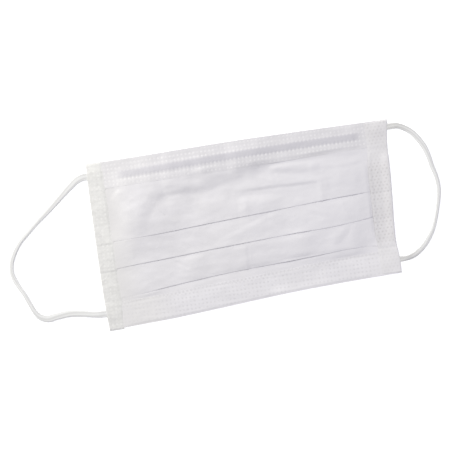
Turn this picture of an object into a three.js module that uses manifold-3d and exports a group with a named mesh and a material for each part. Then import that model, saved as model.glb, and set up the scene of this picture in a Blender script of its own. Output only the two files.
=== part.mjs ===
// A pleated face mask with two round elastic ear loops, lying flat with its outer face up.
//
// Millimetres. +X runs along the width, +Y points to the nose edge, +Z is up, and the origin is
// in the middle of the mask, on the surface that it lies on.
//
// The mask is cloth folded on itself, so its layers lie at three levels, each one wall thick with
// a small clearance between them: the lower level rests on the surface, the middle level is held
// between the two walls of the hems and bands, and the upper level is the outer face.

import * as THREE from 'three';
import { mergeVertices } from 'three/addons/utils/BufferGeometryUtils.js';
import Module from 'manifold-3d';

const wasm = await Module();
wasm.setup();

// ---------------------------------------------------------------- driving dimensions

const CLOTH = 1.0; // wall of every cloth layer
const CLEARANCE = 0.35; // air between two layers that are not welded
const PITCH = CLOTH + CLEARANCE;

const LOWER = CLOTH / 2; // centre heights of the three levels
const MIDDLE = LOWER + PITCH;
const UPPER = MIDDLE + PITCH;

const PLEAT_DEPTH = 8.0; // how far each pleat runs back under the layer above it
const PLEAT_RUN_OUT = 0.9; // flat cloth past a fold before the layer climbs or drops
const HALF_TURN_FACETS = 4;

const HEM_TUCK = 4.0; // how far the panel's cut edges reach into the hems
const HEM_DROP = 5.0; // distance below the top hem in which the panel finds its own height

const END_THICKNESS = 1.1; // the pleats welded flat inside a side band
const END_OVERLAP = 1.0; // length of pleats that the weld takes in
const END_MARGIN = 2.2; // from a folded edge to the welded cloth inside it

const WIRE_WIDTH = 4.0;
const WIRE_THICKNESS = 1.0;

const CORD_DIAMETER = 2.7;
const CORD_SIDES = 8;
const CORD_STEP = 2 * CORD_DIAMETER; // length of one facet along a cord
const CORD_JOIN = 0.5; // the flattened end starts this far inside the round cord
const CORD_STANDOFF = 0.9; // the cord is flat from this far outside the band

const TAB_WIDTH = 4.2; // a cord's end, pressed flat where it is welded in
const TAB_THICKNESS = 1.0;
const TAB_LENGTH = 7.5;
const TAB_CLEARANCE = 0.31;

// ---------------------------------------------------------------- tables

/** Turn rows of numbers into rows with named columns. */
function table(columns, rows) {
  return rows.map((row) => Object.fromEntries(columns.map((name, i) => [name, row[i]])));
}

/** A column's value at a place between two rows, on a straight line. */
function valueAt(rows, key, place, column) {
  const next = rows.findIndex((row) => row[key] >= place);
  const high = rows[Math.max(1, next === -1 ? rows.length - 1 : next)];
  const low = rows[rows.indexOf(high) - 1];
  return THREE.MathUtils.mapLinear(place, low[key], high[key], low[column], high[column]);
}

// The panel across its width: the visible edges of the three pleats, and the height of the cloth
// just under the top hem (valley) and above the first pleat (crown).
const PANEL_ROWS = table(['x', 'fold1', 'fold2', 'fold3', 'valley', 'crown'], [
  [-78.3, 1.8, -13.8, -30.6, 2.0, 3.2],
  [-69.0, 2.0, -13.2, -30.0, 2.6, 3.4],
  [-60.0, 2.3, -12.8, -29.1, 2.9, 3.3],
  [-50.0, 2.7, -12.3, -28.2, 2.1, 4.1],
  [-29.0, 3.9, -11.1, -26.6, 2.2, 4.2],
  [0.0, 5.5, -9.7, -24.8, 2.6, 4.3],
  [13.0, 6.1, -9.1, -24.3, 2.5, 4.3],
  [28.0, 6.9, -8.5, -23.6, 3.2, 3.8],
  [46.0, 7.9, -8.1, -22.6, 3.1, 3.4],
  [54.0, 8.3, -7.6, -22.1, 3.4, 4.0],
  [64.0, 8.7, -6.7, -22.0, 3.0, 3.7],
  [72.2, 9.0, -5.8, -22.5, 2.4, 3.3],
]);

// Each hem across the width: its folded outer edge and its open inner edge.
const TOP_HEM_ROWS = table(['x', 'fold', 'opening'], [
  [-78.4, 48.4, 32.7],
  [-50.0, 48.7, 32.9],
  [-29.0, 49.1, 33.0],
  [0.0, 49.5, 33.2],
  [28.0, 49.5, 33.6],
  [50.0, 49.4, 34.0],
  [74.8, 49.2, 34.3],
]);
const CHIN_HEM_ROWS = table(['x', 'fold', 'opening'], [
  [-78.4, -48.6, -34.0],
  [-50.0, -47.5, -32.6],
  [-29.0, -46.1, -31.3],
  [0.0, -43.9, -29.8],
  [28.0, -42.1, -28.3],
  [50.0, -41.3, -27.0],
  [72.5, -40.6, -26.4],
]);

// The side bands from the chin to the nose: the folded outer edge and the open inner edge of each.
const LEFT_BAND_ROWS = table(['y', 'outer', 'inner'], [
  [-49.5, -88.2, -79.6],
  [-40.0, -89.0, -78.8],
  [-15.0, -89.0, -78.8],
  [5.0, -88.9, -78.8],
  [35.0, -88.6, -78.8],
  [48.6, -88.1, -78.8],
]);
const RIGHT_BAND_ROWS = table(['y', 'outer', 'inner'], [
  [-40.4, 84.4, 73.2],
  [-34.0, 85.0, 73.0],
  [-20.0, 84.0, 72.8],
  [-12.0, 84.4, 72.8],
  [4.0, 85.6, 73.3],
  [22.0, 86.7, 74.0],
  [34.0, 87.0, 75.2],
  [49.1, 89.0, 75.4],
]);

// The middle line of the nose wire.
const WIRE_ROWS = table(['x', 'y'], [
  [-70.0, 40.0],
  [-30.0, 40.8],
  [0.0, 41.5],
  [36.0, 42.0],
  [70.4, 42.1],
]);

// The routes of the ear loops on the surface, from the weld near the nose to the one near the chin.
const LEFT_LOOP_ROUTE = table(['x', 'y'], [
  [-91.0, 41.0],
  [-93.5, 40.2],
  [-98.4, 37.0],
  [-105.6, 31.1],
  [-112.7, 25.2],
  [-120.0, 19.4],
  [-126.9, 13.3],
  [-132.0, 8.6],
  [-136.1, 3.1],
  [-138.6, -2.4],
  [-139.2, -8.0],
  [-137.4, -14.3],
  [-134.2, -20.6],
  [-131.6, -27.0],
  [-129.5, -32.0],
  [-126.8, -35.6],
  [-122.6, -37.3],
  [-117.0, -36.8],
  [-109.4, -36.2],
  [-102.0, -37.4],
  [-95.5, -38.8],
  [-91.5, -39.2],
]);
const RIGHT_LOOP_ROUTE = table(['x', 'y'], [
  [91.2, 45.0],
  [94.0, 44.8],
  [98.4, 42.8],
  [102.4, 39.1],
  [105.6, 34.6],
  [108.2, 29.6],
  [109.9, 23.7],
  [111.0, 18.0],
  [112.5, 12.0],
  [113.0, 5.8],
  [112.2, 0.0],
  [110.7, -6.0],
  [108.6, -12.6],
  [105.9, -18.8],
  [102.3, -24.0],
  [97.8, -28.2],
  [92.5, -31.2],
  [87.6, -32.0],
]);

// ---------------------------------------------------------------- solids

const [X, Y, Z] = [0, 1, 2].map((axis) => new THREE.Vector3().setComponent(axis, 1));

// How a section's two coordinates and its place along a loft lie in the part.
const TOWARDS_RIGHT = new THREE.Matrix4().makeBasis(Y, Z, X);
const TOWARDS_CHIN = new THREE.Matrix4().makeBasis(X, Z, Y.clone().negate());

/** A closed geometry as a solid that can be joined and cut. */
function solidOf(geometry) {
  const bare = geometry.clone();
  bare.deleteAttribute('normal');
  bare.deleteAttribute('uv');
  const merged = mergeVertices(bare);
  const vertProperties = merged.attributes.position.array;
  const triVerts = new Uint32Array(merged.index.array);
  return new wasm.Manifold(new wasm.Mesh({ numProp: 3, vertProperties, triVerts }));
}

/** A solid as a named mesh with its own finish. */
function piece(name, solid, color, roughness, metalness = 0) {
  const { vertProperties, triVerts } = solid.getMesh();
  const geometry = new THREE.BufferGeometry();
  geometry.setAttribute('position', new THREE.BufferAttribute(vertProperties, 3));
  geometry.setIndex(new THREE.BufferAttribute(triVerts, 1));
  geometry.computeVertexNormals();
  const material = new THREE.MeshStandardMaterial({ color, roughness, metalness });
  material.flatShading = true;
  const mesh = new THREE.Mesh(geometry, material);
  mesh.name = name;
  return mesh;
}

/** The solid through sections of equally many points, each a closed outline at its place. */
function loft(sections, direction) {
  const count = sections[0].outline.length;
  const position = sections.flatMap(({ place, outline }) => outline.flatMap(({ x, y }) => [x, y, place]));
  const index = [];
  for (let start = 0; start < (sections.length - 1) * count; start += count) {
    for (let i = 0; i < count; i += 1) {
      const here = start + i;
      const beside = start + ((i + 1) % count);
      index.push(here, beside, beside + count, here, beside + count, here + count);
    }
  }
  const lastRing = (sections.length - 1) * count;
  for (const [a, b, c] of THREE.ShapeUtils.triangulateShape(sections[0].outline, [])) {
    index.push(a, c, b);
  }
  for (const [a, b, c] of THREE.ShapeUtils.triangulateShape(sections.at(-1).outline, [])) {
    index.push(lastRing + a, lastRing + b, lastRing + c);
  }
  const geometry = new THREE.BufferGeometry();
  geometry.setAttribute('position', new THREE.Float32BufferAttribute(position, 3));
  geometry.setIndex(index);
  return solidOf(geometry.applyMatrix4(direction));
}

/** A flat plate with the given plan, standing from one height to another. */
function plate(plan, bottom, top) {
  const settings = { depth: top - bottom, bevelEnabled: false };
  const geometry = new THREE.ExtrudeGeometry(new THREE.Shape(plan), settings);
  return solidOf(geometry.translate(0, 0, bottom));
}

// ---------------------------------------------------------------- cloth walls

/** The middle of cloth that turns back at an edge, which it reaches towards side (-1 or +1). */
function halfTurn(edge, side, fromLevel, toLevel) {
  const radius = (fromLevel - toLevel) / 2;
  const centre = edge - side * (Math.abs(radius) + CLOTH / 2);
  return Array.from({ length: HALF_TURN_FACETS + 1 }, (_, i) => {
    const angle = (Math.PI * i) / HALF_TURN_FACETS;
    const reach = side * Math.abs(radius) * Math.sin(angle);
    return new THREE.Vector2(centre + reach, (fromLevel + toLevel) / 2 + radius * Math.cos(angle));
  });
}

/** A line moved to its left by distance, with mitred corners. */
function offsetLine(line, distance) {
  const along = line.slice(1).map((point, i) => point.clone().sub(line[i]).normalize());
  return line.map((point, i) => {
    const before = along[Math.max(0, i - 1)];
    const after = along[Math.min(along.length - 1, i)];
    const bisector = before.clone().add(after).normalize();
    const mitre = distance / bisector.dot(after);
    return new THREE.Vector2(point.x - bisector.y * mitre, point.y + bisector.x * mitre);
  });
}

/** The closed outline of a cloth wall with its middle on a line. */
function wallOutline(line) {
  return [...offsetLine(line, -CLOTH / 2), ...offsetLine(line, CLOTH / 2).reverse()];
}

/** A strip folded once at an edge, seen from its end: one wall on the surface, one on top. */
function foldedStrip(edge, opening) {
  const side = Math.sign(edge - opening);
  return wallOutline([
    new THREE.Vector2(opening, LOWER),
    ...halfTurn(edge, side, LOWER, UPPER),
    new THREE.Vector2(opening, UPPER),
  ]);
}

// ---------------------------------------------------------------- the pleated panel

/** The panel's middle line from nose to chin, with all of its pleats. */
function panelLine({ x, fold1, fold2, fold3, valley, crown }) {
  const topOpening = valueAt(TOP_HEM_ROWS, 'x', x, 'opening');
  const chinOpening = valueAt(CHIN_HEM_ROWS, 'x', x, 'opening');
  const valleyY = topOpening - HEM_DROP;
  const shoulderY = fold1 + PLEAT_DEPTH + PLEAT_RUN_OUT;
  const line = [
    [topOpening + HEM_TUCK, MIDDLE],
    [topOpening - CLEARANCE, MIDDLE],
    [valleyY, valley],
    [(valleyY + shoulderY) / 2, crown],
    [shoulderY, (crown + UPPER) / 2],
  ].map(([y, z]) => new THREE.Vector2(y, z));
  const folds = [fold1, fold2, fold3];
  folds.forEach((fold, i) => {
    line.push(...halfTurn(fold, -1, UPPER, MIDDLE));
    line.push(...halfTurn(fold + PLEAT_DEPTH, 1, MIDDLE, LOWER));
    line.push(new THREE.Vector2(fold - PLEAT_RUN_OUT, LOWER));
    if (i + 1 < folds.length) {
      line.push(new THREE.Vector2(folds[i + 1] + PLEAT_DEPTH + PLEAT_RUN_OUT, UPPER));
    }
  });
  line.push(new THREE.Vector2(chinOpening + CLEARANCE, MIDDLE));
  line.push(new THREE.Vector2(chinOpening - HEM_TUCK, MIDDLE));
  return line;
}

/** The stack of cloth inside a side band, welded flat. */
function pressedEnd(bandRows, panelRow) {
  const side = Math.sign(panelRow.x);
  const nose = valueAt(TOP_HEM_ROWS, 'x', panelRow.x, 'fold') - END_MARGIN;
  const chin = valueAt(CHIN_HEM_ROWS, 'x', panelRow.x, 'fold') + END_MARGIN;
  const inner = panelRow.x - side * END_OVERLAP;
  const middleRows = bandRows.map((row) => row.y).filter((y) => y > chin && y < nose);
  const outerPoints = [chin, ...middleRows, nose].map((y) => {
    return new THREE.Vector2(valueAt(bandRows, 'y', y, 'outer') - side * END_MARGIN, y);
  });
  const plan = [...outerPoints, new THREE.Vector2(inner, nose), new THREE.Vector2(inner, chin)];
  return plate(plan, MIDDLE - END_THICKNESS / 2, MIDDLE + END_THICKNESS / 2);
}

function pleatedPanel() {
  const sections = PANEL_ROWS.map((row) => ({
    place: row.x,
    outline: wallOutline(panelLine(row)),
  }));
  const pressed = pressedEnd(LEFT_BAND_ROWS, PANEL_ROWS[0])
    .add(pressedEnd(RIGHT_BAND_ROWS, PANEL_ROWS.at(-1)));
  return loft(sections, TOWARDS_RIGHT).add(pressed).subtract(weldPockets());
}

// ---------------------------------------------------------------- hems, bands and wire

function hem(rows) {
  const sections = rows.map(({ x, fold, opening }) => ({
    place: x,
    outline: foldedStrip(fold, opening),
  }));
  return loft(sections, TOWARDS_RIGHT);
}

function sideBand(bandRows) {
  const sections = bandRows.map(({ y, outer, inner }) => ({
    place: -y,
    outline: foldedStrip(outer, inner),
  }));
  return loft(sections.reverse(), TOWARDS_CHIN).subtract(weldPockets());
}

function noseWire() {
  const edge = (offset) => WIRE_ROWS.map(({ x, y }) => new THREE.Vector2(x, y + offset));
  const plan = [...edge(-WIRE_WIDTH / 2), ...edge(WIRE_WIDTH / 2).reverse()];
  return plate(plan, MIDDLE - WIRE_THICKNESS / 2, MIDDLE + WIRE_THICKNESS / 2);
}

// ---------------------------------------------------------------- ear loops

const EAR_LOOPS = [
  { route: LEFT_LOOP_ROUTE, bandRows: LEFT_BAND_ROWS, side: -1 },
  { route: RIGHT_LOOP_ROUTE, bandRows: RIGHT_BAND_ROWS, side: 1 },
];

/** Where each cord goes into its band: the band's outer edge beside the route's two ends. */
function welds({ route, bandRows, side }) {
  return [route[0], route.at(-1)].map((end) => ({
    end,
    side,
    edge: valueAt(bandRows, 'y', end.y, 'outer'),
  }));
}

/** The space that the cords' flattened ends take up inside the bands, with their clearance. */
function weldPockets() {
  const pockets = EAR_LOOPS.flatMap(welds).map(({ end, side, edge }) => {
    const outside = edge + side * CORD_STANDOFF;
    const inside = edge - side * (TAB_LENGTH + TAB_CLEARANCE);
    const box = new THREE.BoxGeometry(
      Math.abs(outside - inside),
      TAB_WIDTH + 2 * TAB_CLEARANCE,
      TAB_THICKNESS + 2 * TAB_CLEARANCE,
    );
    return solidOf(box.translate((outside + inside) / 2, end.y, MIDDLE));
  });
  return wasm.Manifold.union(pockets);
}

/** A regular outline with a flat underneath, across a cord that runs along X. */
function cordSection(width, height, middle) {
  return Array.from({ length: CORD_SIDES }, (_, i) => {
    const angle = (2 * Math.PI * (i + 0.5)) / CORD_SIDES;
    return new THREE.Vector2((width / 2) * Math.cos(angle), middle + (height / 2) * Math.sin(angle));
  });
}

/** A cord's end from its round section to the flat tab inside the band. */
function flattenedEnd({ end, side, edge }) {
  const round = cordSection(CORD_DIAMETER * 0.98, CORD_DIAMETER * 0.98, CORD_DIAMETER / 2);
  const flat = cordSection(TAB_WIDTH, TAB_THICKNESS, MIDDLE);
  const sections = [
    { place: end.x + side * CORD_JOIN, outline: round },
    { place: edge + side * CORD_STANDOFF, outline: flat },
    { place: edge - side * TAB_LENGTH, outline: flat },
  ];
  const ordered = side > 0 ? sections.reverse() : sections;
  return loft(ordered, TOWARDS_RIGHT).translate([0, end.y, 0]);
}

function earLoop(loop) {
  const points = loop.route.map(({ x, y }) => new THREE.Vector3(x, y, CORD_DIAMETER / 2));
  const extrudePath = new THREE.CatmullRomCurve3(points, false, 'centripetal');
  const steps = Math.round(extrudePath.getLength() / CORD_STEP);
  const section = new THREE.Shape(cordSection(CORD_DIAMETER, CORD_DIAMETER, 0));
  const tube = new THREE.ExtrudeGeometry(section, { steps, extrudePath, bevelEnabled: false });
  return welds(loop).reduce((cord, weld) => cord.add(flattenedEnd(weld)), solidOf(tube));
}

// ---------------------------------------------------------------- assembly

const [leftLoop, rightLoop] = EAR_LOOPS;
const mask = new THREE.Group();
mask.name = 'pleated_face_mask';
mask.add(
  piece('pleated_panel', pleatedPanel(), 0xf1f0f3, 0.85),
  piece('top_hem', hem(TOP_HEM_ROWS), 0xebebee, 0.85),
  piece('bottom_hem', hem(CHIN_HEM_ROWS), 0xebebee, 0.85),
  piece('side_band_left', sideBand(LEFT_BAND_ROWS), 0xf3f2f0, 0.9),
  piece('side_band_right', sideBand(RIGHT_BAND_ROWS), 0xf3f2f0, 0.9),
  piece('nose_wire', noseWire(), 0xc9cad4, 0.5),
  piece('ear_loop_left', earLoop(leftLoop), 0xf0f0ec, 0.8),
  piece('ear_loop_right', earLoop(rightLoop), 0xf0f0ec, 0.8),
);

export default mask;
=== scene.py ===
"""A pleated face mask with two elastic ear loops, lying flat with its outer face up.

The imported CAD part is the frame, and every one of its pieces is soft. So each is replaced here by
the thing that it stands for: one pleated sheet, two folded hems, two folded side bands, the nose
wire inside the upper hem, and two knitted ear loops. All cloth is worked out in millimetres, in
the part's own frame, and turned to metres when its mesh is made: x runs along the mask's width, y
from the chin to the nose, and z up from the surface that it lies on.
"""

import logging
import math
from dataclasses import dataclass
from enum import Enum

import bmesh
import bpy
import numpy as np
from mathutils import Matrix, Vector, noise


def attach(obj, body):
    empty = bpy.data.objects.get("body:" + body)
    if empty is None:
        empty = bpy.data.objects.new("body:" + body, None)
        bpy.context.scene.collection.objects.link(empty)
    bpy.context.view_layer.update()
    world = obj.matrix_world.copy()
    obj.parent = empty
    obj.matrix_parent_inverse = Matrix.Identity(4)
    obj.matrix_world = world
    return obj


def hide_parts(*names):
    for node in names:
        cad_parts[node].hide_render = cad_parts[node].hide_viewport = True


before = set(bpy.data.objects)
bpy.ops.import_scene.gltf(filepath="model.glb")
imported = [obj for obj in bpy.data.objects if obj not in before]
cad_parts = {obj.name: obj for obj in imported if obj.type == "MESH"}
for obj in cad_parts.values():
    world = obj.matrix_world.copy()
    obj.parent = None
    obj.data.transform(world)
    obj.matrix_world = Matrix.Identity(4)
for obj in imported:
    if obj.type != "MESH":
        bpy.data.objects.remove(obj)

LOG = logging.getLogger("face_mask")
Array = np.ndarray

MM = 0.001  # one millimetre in metres
CUT_EDGE = math.radians(50.0)  # cloth is only bent this sharply where it has been cut
BODY = "root"


class Side(Enum):
    """The two ends of the mask, as the sign of x."""

    LEFT = -1
    RIGHT = 1


class Edge(Enum):
    """The two long edges of the mask, the nose's and the chin's, as the sign of y."""

    TOP = 1
    BOTTOM = -1


# ---------------------------------------------------------------- small tools


def smooth(start: float | Array, end: float | Array, value: float | Array) -> Array:
    """Rise softly from 0 at start to 1 at end, which may be the smaller of the two."""
    share = np.clip((value - start) / (end - start), 0.0, 1.0)
    return share * share * (3.0 - 2.0 * share)


def mix(first: float | Array, second: float | Array, share: float | Array) -> Array:
    """Blend two values by a share from 0 to 1."""
    return first + (second - first) * share


def bulge(value: Array, power: float = 0.8) -> Array:
    """Push a cosine or sine outwards, which makes an ellipse a little squarer."""
    return np.sign(value) * np.abs(value) ** power


def steps(start: Array, end: Array, count: int) -> list[Array]:
    """Draw evenly spaced lines from one line up to another, without the last."""
    return [mix(start, end, share) for share in np.linspace(0.0, 1.0, count + 1)[:-1]]


def half_turn(
    start: Array, reach: float, first: Array, second: Array, rows: int
) -> list[tuple[Array, Array]]:
    """Turn a sheet back over itself.

    Args:
        start: Where the cloth leaves its layer, across the fold.
        reach: How far the turn stands out; its sign is the way that it stands out.
        first: The height that the cloth leaves.
        second: The height that it arrives at.
        rows: How many rows the turn has.

    Returns:
        The place across the fold and the height of each row, apart from the last.
    """
    return [
        (start + reach * math.sin(angle), mix(first, second, 0.5 - 0.5 * math.cos(angle)))
        for angle in np.linspace(0.0, math.pi, rows + 1)[:-1]
    ]


def linear(colour: str) -> tuple[float, float, float, float]:
    """Turn an sRGB colour into linear light.

    Args:
        colour: Six hex digits after a hash.

    Returns:
        Red, green and blue in linear light, and an alpha of 1.
    """
    parts = [int(colour[i : i + 2], 16) / 255.0 for i in (1, 3, 5)]
    light = [c / 12.92 if c <= 0.04045 else ((c + 0.055) / 1.055) ** 2.4 for c in parts]
    return (*light, 1.0)


def per_metre(millimetres: float) -> float:
    """The texture scale that gives one feature in so many millimetres."""
    return 1.0 / (millimetres * MM)


@dataclass(frozen=True)
class Line:
    """A smooth line through a few rows, each a place and the value there."""

    places: tuple[float, ...]
    values: tuple[float, ...]

    def at(self, place: float | Array) -> Array:
        """Read the line.

        Args:
            place: Where; past the ends the line goes on straight.

        Returns:
            The value at each place.
        """
        places, values = np.array(self.places), np.array(self.values)
        slopes = np.gradient(values, places)
        inside = np.clip(place, places[0], places[-1])
        i = np.clip(np.searchsorted(places, inside, side="right") - 1, 0, len(places) - 2)
        span = places[i + 1] - places[i]
        t = (inside - places[i]) / span
        start = (1 + 2 * t) * (1 - t) ** 2 * values[i] + t * (1 - t) ** 2 * span * slopes[i]
        end = t**2 * (3 - 2 * t) * values[i + 1] + t**2 * (t - 1) * span * slopes[i + 1]
        beyond = np.where(place < places[0], slopes[0], slopes[-1]) * (place - inside)
        return start + end + beyond


class StripOutline:
    """The two edges of a flat CAD strip, read from the frame's mesh."""

    def __init__(self, node: str, along: int, points: int) -> None:
        """Collect the strip's sections.

        Args:
            node: The CAD node.
            along: The axis along the strip, 0 for x and 1 for y.
            points: How many points a whole section has at least.
        """
        sections: dict[float, set[tuple[float, float]]] = {}
        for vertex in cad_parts[node].data.vertices:
            x, y, z = (round(value / MM, 2) for value in vertex.co)
            place, across = (x, y) if along == 0 else (y, x)
            sections.setdefault(round(place, 1), set()).add((across, z))
        whole = {k: [a for a, _ in v] for k, v in sorted(sections.items()) if len(v) >= points}
        self.low = Line(tuple(whole), tuple(min(v) for v in whole.values()))
        self.high = Line(tuple(whole), tuple(max(v) for v in whole.values()))
        self.start, self.end = min(whole), max(whole)

    def edges(self, where: Side | Edge) -> tuple[Line, Line]:
        """The outer and the inner edge of a strip that lies on that edge of the mask."""
        return (self.high, self.low) if where.value > 0 else (self.low, self.high)


# ---------------------------------------------------------------- shader nodes and finishes


def add_node(
    tree: bpy.types.NodeTree,
    kind: str,
    output: str | int = 0,
    inputs: dict[str | int, object] | None = None,
    **settings: object,
) -> bpy.types.NodeSocket | None:
    """Add a node with its settings and links.

    Args:
        tree: The node tree that it goes into.
        kind: Its type, such as Bump for ShaderNodeBump.
        output: The output that is used, by name or number.
        inputs: A value, or an output to link, for each input by name or number.
        **settings: Its other properties.

    Returns:
        That output, or nothing where the node is the last one.
    """
    node = tree.nodes.new(f"ShaderNode{kind}")
    for name, value in settings.items():
        setattr(node, name, value)
    for name, value in (inputs or {}).items():
        if isinstance(value, bpy.types.NodeSocket):
            tree.links.new(value, node.inputs[name])
        else:
            node.inputs[name].default_value = value
    return node.outputs[output] if len(node.outputs) else None


@dataclass(frozen=True)
class Finish:
    """What every finish has: the real material's name, how it was made, and its colour."""

    name: str
    colour: str

    def look(self, tree: bpy.types.NodeTree) -> dict[str, object]:
        """Add the finish's own nodes and say what goes into the surface shader."""
        raise NotImplementedError

    def material(self) -> bpy.types.Material:
        """Build the material, which reads the attributes that its piece carries.

        Returns:
            The material.
        """
        material = bpy.data.materials.new(self.name)
        material.use_nodes = True
        tree = material.node_tree
        tree.nodes.clear()
        surface = add_node(tree, "BsdfPrincipled", "BSDF", self.look(tree))
        add_node(tree, "OutputMaterial", inputs={"Surface": surface})
        return material


@dataclass(frozen=True)
class Nonwoven(Finish):
    """White spunbond polypropylene nonwoven: fine fibres, point bonded between hot rollers.

    It scatters light like paper, with a faint plastic gloss where the rollers pressed it. Its
    fibres lie unevenly, which shows as soft clouds. Where layers are welded together the fibres
    melt, and the welds' colour also paints shade into their pits where it is darker than the
    cloth and a glint on their fused film where it is lighter. Its tints along the mask are
    painted light, warmer towards the left.
    """

    # the welds' colour: melted cloth, which also paints shade into their pits where it is darker than
    # the cloth and a glint on their fused film where it is lighter
    weld_melt_shade_and_glint: str
    wire_colour: str = "#CAC8CE"  # of the cloth where the nose wire lies under it
    # painted light along the mask, warmer towards the left where the light comes from: colour,
    # x in mm where it starts and where it is complete, and how much of it there is then
    painted_light_tints: tuple[tuple[str, float, float, float], ...] = ()
    roughness: float = 0.62
    sheen: float = 0.12
    gloss: float = 0.38
    cloud: float = 9.0  # mm, the size of the thin and thick places in the web
    cloud_depth: float = 0.035  # how much lighter and darker they are
    bond_pitch: float = 1.3  # mm between bond points, drawn a little coarse so that it shows
    bond_depth: float = 0.08  # mm
    fibre: float = 0.45  # mm, clumps of fibres; single ones are far too fine to show
    fibre_depth: float = 0.10  # mm
    crumple: float = 3.2  # mm, fine creases left by handling
    crumple_depth: float = 0.16  # mm
    crumple_strength: float = 0.5
    drawn: tuple[float, float, float] = (0.55, 1.0, 1.0)  # the web is drawn out along x

    def look(self, tree: bpy.types.NodeTree) -> dict[str, object]:
        """Clouds, painted light tints and the welds' painted shade and glint in the colour, with
        creases, bond points and fibres as relief.

        Args:
            tree: The material's node tree.

        Returns:
            What goes into each socket of the surface shader.
        """
        place = add_node(tree, "TexCoord", "Object")
        web = add_node(tree, "Mapping", "Vector", {"Vector": place, "Scale": self.drawn})
        turn = (0.0, 0.0, math.radians(45.0))
        diagonal = add_node(tree, "Mapping", "Vector", {"Vector": place, "Rotation": turn})
        scale = per_metre(self.cloud)
        inputs = {"Vector": web, "Scale": scale, "Detail": 5.0, "Roughness": 0.62}
        clouds = add_node(tree, "TexNoise", "Fac", inputs)
        inputs = {"Vector": web, "Scale": per_metre(self.fibre), "Detail": 3.0, "Distortion": 0.6}
        fibres = add_node(tree, "TexNoise", "Fac", inputs)
        scale = per_metre(self.crumple)
        inputs = {"Vector": place, "Scale": scale, "Detail": 2.0, "Distortion": 0.8}
        creases = add_node(tree, "TexNoise", "Fac", inputs, noise_type="RIDGED_MULTIFRACTAL")
        inputs = {"Vector": diagonal, "Scale": per_metre(self.bond_pitch), "Randomness": 0.12}
        bonds = add_node(tree, "TexVoronoi", "Distance", inputs)
        relief: dict[str, object] = {}
        for pattern, strength, depth in (
            (creases, self.crumple_strength, self.crumple_depth),
            (bonds, 0.35, self.bond_depth),
            (fibres, 0.5, self.fibre_depth),
        ):
            relief |= {"Height": pattern, "Strength": strength, "Distance": depth * MM}
            relief["Normal"] = add_node(tree, "Bump", "Normal", relief)
        return {
            "Base Color": self.tinted(tree, place, clouds, fibres),
            "Roughness": self.roughness,
            "Specular IOR Level": self.gloss,
            "Sheen Weight": self.sheen,
            "Sheen Roughness": 0.6,
            "Normal": relief["Normal"],
        }

    def tinted(
        self,
        tree: bpy.types.NodeTree,
        place: bpy.types.NodeSocket,
        clouds: bpy.types.NodeSocket,
        fibres: bpy.types.NodeSocket,
    ) -> bpy.types.NodeSocket:
        """Mix the colour of the cloth, its welds with their painted shade and glint, its painted light
        tints and the wire that shows through.

        Args:
            tree: The material's node tree.
            place: The place on the piece.
            clouds: Where the web is thick.
            fibres: Where its fibres lie close.

        Returns:
            The colour.
        """
        thin, thick = (
            (*(min(1.0, light * (1.0 + change)) for light in linear(self.colour)[:3]), 1.0)
            for change in (-self.cloud_depth, self.cloud_depth)
        )
        inputs = {"Value": clouds, "From Min": 0.35, "From Max": 0.65}
        spread = add_node(tree, "MapRange", "Result", inputs)
        weld = add_node(tree, "Attribute", "Fac", attribute_name="weld")
        along = add_node(tree, "SeparateXYZ", "X", {"Vector": place})
        # the welds: melted cloth, with painted shade where their colour is darker and a painted glint
        # where it is lighter
        layers = [(spread, thick), (weld, linear(self.weld_melt_shade_and_glint))]
        # painted light: tints that warm the cloth towards the left
        for painted_tint, start, end, most in self.painted_light_tints:
            inputs = {"Value": along, "From Min": start * MM, "From Max": end * MM, "To Max": most}
            share = add_node(tree, "MapRange", "Result", inputs, interpolation_type="SMOOTHSTEP")
            layers.append((share, linear(painted_tint)))
        over_wire = add_node(tree, "Attribute", "Fac", attribute_name="wire")
        inputs = {"Value": fibres, "To Min": 0.72, "To Max": 1.28}
        patchy = add_node(tree, "MapRange", "Result", inputs)
        inputs = {0: over_wire, 1: patchy}
        wire = add_node(tree, "Math", "Value", inputs, operation="MULTIPLY")
        layers.append((wire, linear(self.wire_colour)))
        colour: object = thin
        for share, layer in layers:
            colour = add_node(tree, "Mix", 2, {0: share, 6: colour, 7: layer}, data_type="RGBA")
        return colour


@dataclass(frozen=True)
class CoatedWire(Finish):
    """Galvanised wire in an extruded polyethylene coat: a smooth, waxy, slightly blue white."""

    roughness: float = 0.42
    line_pitch: float = 0.4  # mm between the faint lines that the extruder draws along it
    line_depth: float = 0.04  # mm
    drawn: tuple[float, float, float] = (0.05, 1.0, 1.0)

    def look(self, tree: bpy.types.NodeTree) -> dict[str, object]:
        """Faint lines along the wire, in its gloss and as relief.

        Args:
            tree: The material's node tree.

        Returns:
            What goes into each socket of the surface shader.
        """
        place = add_node(tree, "TexCoord", "Object")
        drawn = add_node(tree, "Mapping", "Vector", {"Vector": place, "Scale": self.drawn})
        inputs = {"Vector": drawn, "Scale": per_metre(self.line_pitch), "Detail": 3.0}
        lines = add_node(tree, "TexNoise", "Fac", inputs)
        least, most = self.roughness - 0.06, self.roughness + 0.08
        inputs = {"Value": lines, "To Min": least, "To Max": most}
        uneven = add_node(tree, "MapRange", "Result", inputs)
        inputs = {"Height": lines, "Strength": 0.3, "Distance": self.line_depth * MM}
        ribbed = add_node(tree, "Bump", "Normal", inputs)
        return {"Base Color": linear(self.colour), "Roughness": uneven, "Normal": ribbed}


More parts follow.
